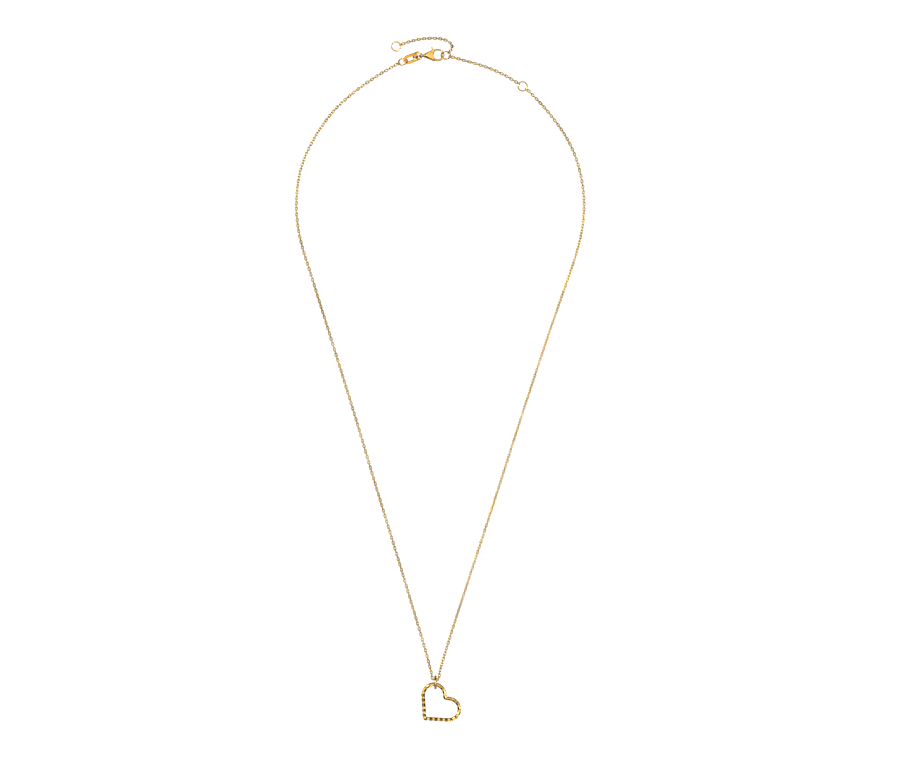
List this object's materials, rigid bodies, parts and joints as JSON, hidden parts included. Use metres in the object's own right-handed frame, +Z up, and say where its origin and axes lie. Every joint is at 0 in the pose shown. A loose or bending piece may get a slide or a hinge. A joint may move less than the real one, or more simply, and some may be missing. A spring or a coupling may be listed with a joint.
{
  "type": "pendant necklace",
  "caption": "Fine necklace lying fastened: cable chain with an open tilted heart on a bail ring, lobster clasp, oval tag and rings that give shorter or longer wear.",
  "frame": {"origin": "centre of the necklace's bounding box, on the surface it lies on", "axes": "+X to the wearer-facing right of the laid-out necklace, +Y from the heart towards the clasp, +Z up out of the surface"},
  "size_m": [0.0858, 0.202, 0.0041],
  "materials": {
    "chain_gold": "polished gold wire links",
    "polished_gold": "polished gold",
    "tag_gold": "polished gold plate",
    "clasp_gold": "polished cast gold",
    "spring_steel": "spring wire",
    "cut_gold": "polished gold with bright diamond cuts"
  },
  "bodies": {
    "chain": {"main_chain": "chain_gold", "main_chain_first_link": "chain_gold", "main_chain_last_link": "chain_gold", "short_chain": "chain_gold", "short_chain_first_link": "chain_gold", "short_chain_last_link": "chain_gold"},
    "left_ring": {"left_ring": "polished_gold"},
    "tag": {"oval_tag": "tag_gold"},
    "connector_ring": {"connector_ring": "polished_gold"},
    "clasp": {"clasp_body": "clasp_gold", "lever_pin": "clasp_gold", "lever_spring": "spring_steel"},
    "lever": {"clasp_lever": "clasp_gold"},
    "clasp_ring": {"clasp_ring": "polished_gold"},
    "tail": {"tail_chain": "chain_gold", "tail_chain_first_link": "chain_gold", "tail_chain_last_link": "chain_gold"},
    "tail_ring": {"tail_ring": "polished_gold"},
    "adjuster_ring": {"adjuster_ring": "polished_gold"},
    "bail": {"bail_ring": "polished_gold"},
    "heart": {"heart": "cut_gold"}
  },
  "joints": [
    {"name": "left_ring_rock", "type": "hinge", "parent": "chain", "child": "left_ring", "pos_m": [-0.011, 0.0935, 0.0012], "axis": [0.9336, 0.3584, 0], "range_deg": [-10, 10]},
    {"name": "tag_rock", "type": "hinge", "parent": "chain", "child": "tag", "pos_m": [-0.00867, 0.0944, 0.0012], "axis": [0.9336, 0.3584, 0], "range_deg": [-8, 8]},
    {"name": "connector_ring_rock", "type": "hinge", "parent": "chain", "child": "connector_ring", "pos_m": [-0.00666, 0.09517, 0.0012], "axis": [0.9336, 0.3584, 0], "range_deg": [-3, 3]},
    {"name": "clasp_roll", "type": "hinge", "parent": "chain", "child": "clasp", "pos_m": [-0.00546, 0.09523, 0.0012], "axis": [0.9986, 0.0523, 0], "range_deg": [-5, 5]},
    {"name": "lever_press", "type": "hinge", "parent": "clasp", "child": "lever", "pos_m": [-0.00242, 0.09637, 0.00099], "axis": [-0.0109, 0.2076, 0.9781], "range_deg": [-15, 0], "stiffness_Nm_per_rad": 0.0002, "springref_deg": 5.73},
    {"name": "clasp_ring_rock", "type": "hinge", "parent": "chain", "child": "clasp_ring", "pos_m": [0.00165, 0.0954, 0.0012], "axis": [0.9986, -0.0523, 0], "range_deg": [-3, 3]},
    {"name": "tail_swing", "type": "hinge", "parent": "clasp_ring", "child": "tail", "pos_m": [0.0025, 0.09618, 0.00189], "axis": [-0.7734, 0.5022, 0.3868], "range_deg": [0, 40]},
    {"name": "tail_ring_swing", "type": "hinge", "parent": "tail", "child": "tail_ring", "pos_m": [-0.01175, 0.09856, 0.00062], "axis": [-0.342, 0.9397, 0], "range_deg": [0, 100]},
    {"name": "adjuster_ring_rock", "type": "hinge", "parent": "chain", "child": "adjuster_ring", "pos_m": [0.0243, 0.0863, 0.00064], "axis": [0.8039, -0.5948, 0], "range_deg": [-12, 12]},
    {"name": "bail_swing", "type": "hinge", "parent": "chain", "child": "bail", "pos_m": [-0.00137, -0.0887, 0.00155], "axis": [1, 0, 0], "range_deg": [-60, 0]},
    {"name": "heart_swing", "type": "hinge", "parent": "bail", "child": "heart", "pos_m": [-0.00137, -0.08985, 0.00165], "axis": [1, 0, 0], "range_deg": [-90, 0]}
  ]
}
